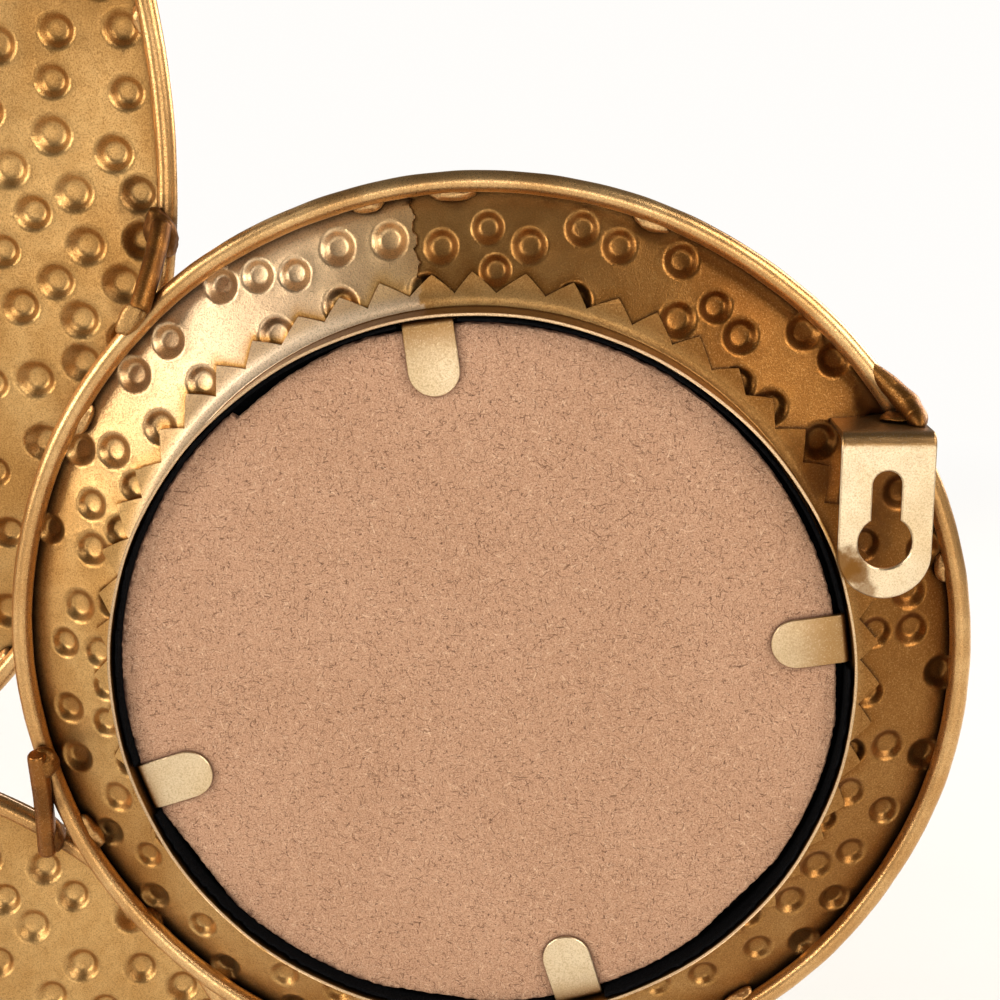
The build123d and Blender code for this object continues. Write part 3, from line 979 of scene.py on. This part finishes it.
def retaining_tab(place, angle, material):
    """Strip standing inside the collar, bent over the board, with a round free end."""
    radius = TAB_OUTER_RADIUS - TAB_THICKNESS / 2
    level = BOARD_LEVEL + BOARD_THICKNESS + TAB_GAP + TAB_THICKNESS / 2
    bend = TAB_BEND
    start = LIP_LEVEL + 0.1
    upright = level - bend - start
    curve = bend * math.pi / 2
    flap = radius - bend - (TAB_OUTER_RADIUS - TAB_LENGTH)
    half = TAB_WIDTH / 2
    straight = upright + curve + flap - half
    round_end = [
        (straight + half * math.sin(a), -half * math.cos(a)) for a in np.linspace(0, math.pi, 25)
    ]
    lower = [(u, -half) for u in np.linspace(0, straight, 40)[:-1]]
    upper = [(u, half) for u in np.linspace(straight, 0, 40)[1:]]
    root = [(0.0, v) for v in np.linspace(half, -half, 12)[1:-1]]
    outline = np.array(lower + round_end + upper + root)
    fill = np.concatenate([
        grid((0, -half), (straight + half, half), 1.0),
        grid((upright - 0.3, -half), (upright + curve + 0.3, half), 0.22, jitter=0.05),
    ])
    fill = clear_of(fill, [outline], 0.16)
    aim = (math.cos(math.radians(angle)), math.sin(math.radians(angle)))

    def shape(u, v, offset):
        turn = np.clip((u - upright) / bend, 0, math.pi / 2)
        reach = bend + offset
        along = np.clip(u - upright - curve, 0, None)
        r = radius - bend + reach * np.cos(turn) - along
        z = level - bend + reach * np.sin(turn) + np.clip(u, None, upright) - upright
        bow = 0.28 * np.sin(np.clip(along / flap, 0, 1) * math.pi)
        z = z + bow + 0.06 * np.sin(v * 0.5 + 1) * np.clip(along / 6, 0, 1)
        x = r * aim[0] - v * aim[1]
        y = r * aim[1] + v * aim[0]
        return placed(x, y, z)

    tab = sheet_object(f"retaining_tab_{place}", [outline], fill, TAB_THICKNESS, shape, material, edge=0.14)
    # Painted shade, darkest at the bend.
    from_centre = [74, 71.5, 68, 63, 59]
    shade = TAB_PAINTED_SHADE[place]

    def tone(x, y, z):
        distance = np.hypot(x - MIRROR_AT[0], y - MIRROR_AT[1])
        return np.interp(-distance, [-r for r in from_centre], shade)

    add_tone(tab, tone)

    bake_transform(tab)
    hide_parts(f"tab_foot_{place}", f"tab_flap_{place}")
    return tab


def keyhole_loop():
    """Round opening with a slot above it, clockwise."""
    meet = math.asin(SLOT_RADIUS / KEYHOLE_RADIUS)
    slot_top = [
        (SLOT_RADIUS * math.cos(a), SLOT_RISE + SLOT_RADIUS * math.sin(a))
        for a in np.linspace(0, math.pi, 22)
    ]
    turn = np.linspace(math.pi / 2 + meet, 2.5 * math.pi - meet, 50)
    opening = [(KEYHOLE_RADIUS * math.cos(a), KEYHOLE_RADIUS * math.sin(a)) for a in turn]
    side = np.linspace(*SLOT_SIDE, 10)
    right = [(SLOT_RADIUS, y) for y in side]
    left = [(-SLOT_RADIUS, y) for y in side[::-1]]
    return np.array(right + slot_top + left + opening)[::-1]


def keyhole_hanger(name, centre_x, ground, material):
    """Wall plate with a keyhole; its top is bent down as a flange that stands on the ground."""
    half = HANGER_WIDTH / 2
    thick = HANGER_THICKNESS
    bend = HANGER_BEND
    bend_start = HANGER_TOP - thick / 2 - bend
    curve = bend * math.pi / 2
    end_centre = HANGER_BOTTOM + half
    across = np.linspace(half, -half, 30)
    flange_y = np.full_like(across, HANGER_TOP - thick / 2)
    depth = -ground(across + centre_x, flange_y) - thick / 2 - bend
    bottom_edge = np.stack([across, bend_start + curve + depth], 1)
    side = np.linspace(end_centre, bottom_edge[0, 1], 50)[1:-1]
    other = np.linspace(bottom_edge[-1, 1], end_centre, 50)[1:-1]
    rounding = [
        (half * math.cos(a), end_centre + half * math.sin(a))
        for a in np.linspace(math.pi, 2 * math.pi, 40)
    ]
    outline = np.array(
        rounding + [(half, u) for u in side] + bottom_edge.tolist() + [(-half, u) for u in other]
    )
    hole = keyhole_loop()
    fill = np.concatenate([
        grid((-half, HANGER_BOTTOM), (half, bend_start + curve + depth.max()), 1.3),
        grid((-half, bend_start), (half, bend_start + curve), 0.36, jitter=0.05),
    ])
    fill = clear_of(fill, [outline, hole], 0.25)

    def shape(x, u, offset):
        turn = np.clip((u - bend_start) / bend, 0, math.pi / 2)
        reach = bend + offset
        down = np.clip(u - bend_start - curve, 0, None)
        y = np.minimum(u, bend_start) + reach * np.sin(turn)
        z = -thick / 2 - bend + reach * np.cos(turn) - down
        worn = 0.05 * np.sin(x * 0.7 + 0.4) * np.sin(u * 0.5)
        return np.stack([x + centre_x, y, z + worn - 0.06], 1)

    hanger = sheet_object(name, [outline, hole], fill, thick, shape, material, edge=0.28)
    # Painted shade on the bend and on the flange above it.
    shaded_bend = [bend_start - 0.3, bend_start + 0.9]
    add_tone(hanger, lambda x, y, z: np.interp(y, shaded_bend, [0.0, 1.35]))
    return hanger


def mirror_side_ground(x, y):
    """What the mirror side hanger stands on: the ring's sheet, and its wire further out."""
    dx, dy = x - MIRROR_AT[0], y - MIRROR_AT[1]
    from_wire = np.hypot(dx, dy) - (MIRROR_RADIUS - WIRE_RADIUS)
    wire = np.sqrt(np.clip(WIRE_RADIUS**2 - from_wire**2, 0, None))
    sheet = MIRROR_SURFACE(dx, dy)
    return MIRROR_AT[2] + np.where(np.abs(from_wire) < WIRE_RADIUS, np.maximum(wire, sheet), sheet)


def plate_side_ground(x, y):
    """What the other hanger stands on: the sheet of the large plate."""
    return LARGE_AT[2] + LARGE_SURFACE(x - LARGE_AT[0], y - LARGE_AT[1])


def link_rod(name, start, finish, material):
    """Short length of wire welded across two rims, its ends cut square."""
    share = np.array([0, 0.015, 0.04, 0.2, 0.4, 0.6, 0.8, 0.96, 0.985, 1])
    line = np.array(start) + share[:, None] * (np.array(finish) - np.array(start))
    line[:, 0] += 0.35 * np.sin(share * math.pi)
    girth = WIRE_RADIUS * np.array([0.82, 0.96, 1, 1.01, 0.99, 1.01, 1, 1, 0.96, 0.82])
    rod = tube_object(name, [(line, girth, False)], material, sides=24)
    add_tone(rod, lambda x, y, z: np.full_like(x, 1.1))
    return rod


def rim_lumps(at, outer_radius, angles):
    """Weld lumps in the corner between a rim wire and its sheet."""
    lumps = []
    for index, angle in enumerate(angles):
        radius = outer_radius - RIM_WELD_INSET
        centre = (
            at[0] + radius * math.cos(math.radians(angle)),
            at[1] + radius * math.sin(math.radians(angle)),
            at[2] + BRIM_LEVEL + 1.0,
        )
        lumps.append((centre, (1.7, 3.0 + 0.8 * (index % 3), 1.7), angle))
    return lumps


def cast_fillet(material):
    """Smooth run of weld metal from the outer side of the mirror ring's wire to the hanger."""
    knots = np.array([
        (217.2, 32.8, -17.0), (220.2, 30.0, -16.2), (223.2, 27.0, -14.8), (225.6, 24.4, -12.4),
        (226.7, 22.4, -9.4), (226.9, 21.2, -6.0),
    ])
    share = np.linspace(0, len(knots) - 1, 48)
    line = np.stack([np.interp(share, range(len(knots)), knots[:, k]) for k in range(3)], 1)
    swell = np.interp(share, range(len(knots)), (0.5, 1.5, 2.1, 2.4, 2.1, 1.4))
    rounding = np.sqrt(np.clip(1 - (np.clip(share - 4.3, 0, None) / 0.72) ** 2, 0.02, 1))
    girth = swell * rounding * (1 + 0.03 * np.sin(share * 5.0))
    fillet = tube_object("hanger_weld_fillet", [(line, girth, False)], material, sides=20)
    add_tone(fillet, lambda x, y, z: np.full_like(x, 1.25))
    return fillet


def crossing_points(centre_a, radius_a, centre_b, radius_b):
    """The two points where two circles cross."""
    dx, dy = centre_b[0] - centre_a[0], centre_b[1] - centre_a[1]
    apart = math.hypot(dx, dy)
    along = (apart**2 + radius_a**2 - radius_b**2) / (2 * apart)
    aside = math.sqrt(radius_a**2 - along**2)
    return [
        (
            centre_a[0] + (along * dx - side * aside * dy) / apart,
            centre_a[1] + (along * dy + side * aside * dx) / apart,
        )
        for side in (-1, 1)
    ]


# ---- assembly


def finish_piece(obj, slot, *nodes, body="frame"):
    """Fixes a piece to its body and hides the plain shapes it stands for."""
    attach(obj, body)
    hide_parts(*nodes)


# Heat stains, painted shadow of the mirror side hanger on the ring, and brown patches on the hanger plate,
# as (rear-view centre, radius, strength).
LINK_SOOT = (
    ((77.5, 58.0, -25.0), 7.0, 0.8),
    ((72.0, 64.0, -27.0), 5.0, 0.7),
    ((76.5, 52.0, -19.0), 4.0, 0.75),
    ((67.5, 43.0, -25.0), 4.5, 0.6),
    ((46.0, -73.0, -21.0), 6.0, 0.7),
    ((45.5, -62.0, -15.0), 5.0, 0.5),
)
RING_SOOT_AND_HANGER_SHADOW = LINK_SOOT + (
    ((221.0, 23.5, -19.5), 5.5, 0.85),
    # Painted shadow of the mirror side hanger: in its keyhole, under it and beside its left edge.
    ((220.0, 8.0, -16.5), 9.0, 0.55),
    ((219.0, -3.0, -15.5), 6.5, 0.5),
    ((208.5, 10.0, -14.0), 5.0, 0.6),
    ((209.5, 17.0, -16.0), 4.5, 0.6),
    ((176.0, 58.0, -19.0), 3.5, 0.45),
    ((137.8, 64.5, -19.0), 3.0, 0.4),
)

# Brown patches on the mirror side hanger plate.
HANGER_BROWN_PATCHES = (
    ((211.8, -4.6, 0.0), 4.4, 0.95),
    ((214.6, -5.8, 0.0), 3.0, 0.9),
    ((217.0, -9.6, 0.0), 2.2, 0.7),
)
sheet_paint = gold_paint("gold_paint_on_sheet", *DARK_GOLD, rough=0.36, stains_and_shadows=RING_SOOT_AND_HANGER_SHADOW)
plate_paint = gold_paint("gold_paint_on_plates", *DARK_GOLD, rough=0.36, stains_and_shadows=LINK_SOOT)
wire_paint = gold_paint(
    "gold_paint_on_wire", *BRIGHT_GOLD, rough=0.31, stains_and_shadows=LINK_SOOT, grain=0.4, relief=0.2,
)
collar_paint = gold_paint("gold_paint_on_collar", *DARK_GOLD, rough=0.36, stains_and_shadows=RING_SOOT_AND_HANGER_SHADOW)
weld_paint = gold_paint("gold_paint_on_rim_welds", *BRIGHT_GOLD, rough=0.36, grain=0.7)
link_weld_paint = gold_paint(
    "gold_paint_on_link_welds", *DARK_GOLD, rough=0.43, stains_and_shadows=LINK_SOOT, grain=0.7,
)
hanger_paint = gold_paint(
    "gold_paint_on_hangers", *PALE_GOLD_PAINTED_LIT, rough=0.34, stains_and_shadows=HANGER_BROWN_PATCHES, spot_colour=BROWN_GOLD, grain=0.45,
)
tab_paint = gold_paint("gold_paint_on_tabs", *PALE_GOLD_PAINTED_LIT, rough=0.36, grain=0.45)

# The three hammered discs with their rim wires.
finish_piece(mirror_ring_sheet(sheet_paint), "painted_sheet", "mirror_ring_sheet")
finish_piece(
    plate_sheet("small_plate_hammered_sheet", SMALL_SURFACE, SMALL_AT, SMALL_RADIUS, 3.6, plate_paint),
    "painted_sheet", "small_plate_sheet",
)
finish_piece(
    plate_sheet("large_plate_hammered_sheet", LARGE_SURFACE, LARGE_AT, LARGE_RADIUS, 4.2, plate_paint),
    "painted_sheet", "large_plate_sheet",
)
finish_piece(
    rim_wire("mirror_ring_rim_wire", MIRROR_AT, MIRROR_RADIUS, 1, wire_paint, gap=(30.5, 32.9)),
    "painted_wire", "mirror_ring_wire",
)
for plate, at, radius, seed in (("small", SMALL_AT, SMALL_RADIUS, 2), ("large", LARGE_AT, LARGE_RADIUS, 3)):
    wire = rim_wire(f"{plate}_plate_rim_wire", at, radius, seed, wire_paint)
    finish_piece(wire, "painted_wire", f"{plate}_plate_wire")

# The mirror pocket.
finish_piece(toothed_collar(collar_paint), "painted_sheet", "mirror_collar")
finish_piece(backing_board(hardboard()), "hardboard", "backing_board")
finish_piece(fibre_pad(black_pad()), "black_pad", "foam_pad")
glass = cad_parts["mirror_glass"]
glass.data.materials.clear()
glass.data.materials.append(mirror_glass())
for place, angle in TAB_ANGLES.items():
    retaining_tab(place, angle, tab_paint)

# Hangers and link rods.
for side, centre_x, ground in (
    ("mirror", HANGER_AT, mirror_side_ground),
    ("plate", -HANGER_AT, plate_side_ground),
):
    hanger = keyhole_hanger(f"keyhole_hanger_{side}_side", centre_x, ground, hanger_paint)
    finish_piece(hanger, "hanger_paint", f"hanger_{side}_side")
for side, ends, paint in (("upper", UPPER_ROD, link_weld_paint), ("lower", LOWER_ROD, wire_paint)):
    finish_piece(link_rod(f"link_rod_{side}_wire", *ends, paint), "painted_wire", f"link_rod_{side}")

# Welds.
for disc, at, radius, angles in (
    ("mirror_ring", MIRROR_AT, MIRROR_RADIUS, MIRROR_WELDS),
    ("small_plate", SMALL_AT, SMALL_RADIUS, SMALL_WELDS),
    ("large_plate", LARGE_AT, LARGE_RADIUS, LARGE_WELDS),
):
    welds = lump_object(f"welds_on_{disc}", rim_lumps(at, radius, angles), weld_paint)
    finish_piece(welds, "weld_paint", f"weld_beads_{disc}")
link_lumps = [
    ((77.4, 58.0, -25.0), (3.2, 5.0, 3.0), 15),
    ((73.6, 42.4, -13.4), (2.3, 4.4, 1.9), -38),
    ((47.4, -53.0, -14.0), (3.0, 3.4, 2.6), 0),
    ((45.4, -72.6, -19.6), (3.0, 4.0, 2.8), 0),
    ((66.2, -92.8, -20.0), (2.4, 3.2, 2.2), 40),
]
crossing_level = SMALL_AT[2] + BRIM_LEVEL - SHEET_THICKNESS
for x, y in crossing_points(SMALL_AT, SMALL_RADIUS - WIRE_RADIUS, LARGE_AT, LARGE_RADIUS - WIRE_RADIUS):
    link_lumps.append(((x, y, crossing_level), (3.2, 3.2, 2.6), 0))
link_welds = lump_object("welds_on_links", link_lumps, link_weld_paint)
add_tone(link_welds, lambda x, y, z: np.where(np.hypot(x - 73.6, y - 42.4) < 5.5, -0.1, 0.8))
finish_piece(link_welds, "weld_paint", "weld_beads_links")
finish_piece(cast_fillet(link_weld_paint), "weld_paint", "weld_beads_hangers")
hanger_lumps = [
    ((224.6, 21.8, -13.0), (4.0, 1.3, 4.2), 0),
    ((-224.5, 22.2, -26.0), (2.8, 1.9, 1.8), 0),
    ((-215.5, 22.2, -25.6), (2.4, 1.7, 1.6), 0),
]
hanger_welds = lump_object("welds_on_hangers", hanger_lumps, link_weld_paint)
add_tone(hanger_welds, lambda x, y, z: np.full_like(x, 1.2))
finish_piece(hanger_welds, "weld_paint", "weld_beads_hangers")


# ---- floor, light and camera


def soft_light(name, place, aim, size, power, colour):
    """Soft box that faces a point."""
    lamp = bpy.data.lights.new(name, "AREA")
    lamp.shape = "RECTANGLE"
    lamp.size, lamp.size_y = size
    lamp.energy = power
    lamp.color = colour
    obj = new_object(name, lamp)
    obj.location = place
    obj.rotation_euler = (Vector(aim) - Vector(place)).to_track_quat("-Z", "Y").to_euler()


lowest = min(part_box(node)[0].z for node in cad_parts)
half_floor = 12.0
floor_mesh = bpy.data.meshes.new("studio_floor")
corners = [(-1, -1), (1, -1), (1, 1), (-1, 1)]
floor_level = lowest - 0.0006
corner_points = [(half_floor * x, half_floor * y, floor_level) for x, y in corners]
floor_mesh.from_pydata(corner_points, [], [(0, 1, 2, 3)])
floor_mesh.materials.append(pale_floor())
new_object("studio_floor", floor_mesh)


def studio_world():
    """Surroundings that look white but light the object mostly from low down."""
    world = bpy.data.worlds.new("studio_light")
    world.use_nodes = True
    tree = world.node_tree
    background = tree.nodes["Background"]
    direction = add_node(tree, "TexCoord", {}).outputs["Generated"]
    split = add_node(tree, "SeparateXYZ", {0: direction})
    glow = range_node(tree, split.outputs["Z"], 0.0, 0.75, 0.36, 0.055)
    path = add_node(tree, "LightPath", {})
    strength = math_node(tree, "MAXIMUM", glow, path.outputs["Is Camera Ray"])
    tree.links.new(strength, background.inputs["Strength"])
    background.inputs["Color"].default_value = WHITE_SURROUNDINGS
    return world


bpy.context.scene.world = studio_world()
bpy.context.scene.view_settings.view_transform = "Standard"

# Soft boxes in metres, for the wall side: one on each hand and one level with the object. The
# same three, turned half round, light the room side.
WARM_WHITE = (1.0, 0.96, 0.90)
for side, facing in (("wall", 1), ("room", -1)):
    for name, (x, y, z), size, power in (
        ("right", (-1.1, 0.6, 0.75), (0.6, 0.9), 13),
        ("left", (1.1, 0.8, 0.48), (0.6, 0.9), 14.5),
        ("front", (-0.3, 1.5, 0.0), (0.9, 0.4), 4.5),
    ):
        place = (x * facing, y * facing, z)
        soft_light(f"{name}_{side}_side", place, (0, 0, 0), size, power, WARM_WHITE)

# Close view of the mirror ring from the wall side, a little from above.
camera_data = bpy.data.cameras.new("wall_side_camera")
camera_data.lens = 54
camera_data.sensor_width = 36
camera_data.clip_start = 0.01
camera = new_object("wall_side_camera", camera_data)
camera.location = (-0.1643, 0.27825, 0.07685)
aim_point = Vector((-0.1458, -0.0173, 0.0042))
look = (aim_point - camera.location).to_track_quat("-Z", "Y").to_matrix()
roll = Matrix.Rotation(math.radians(-0.85), 3, "Z")
camera.rotation_euler = (look @ roll).to_euler()
bpy.context.scene.camera = camera
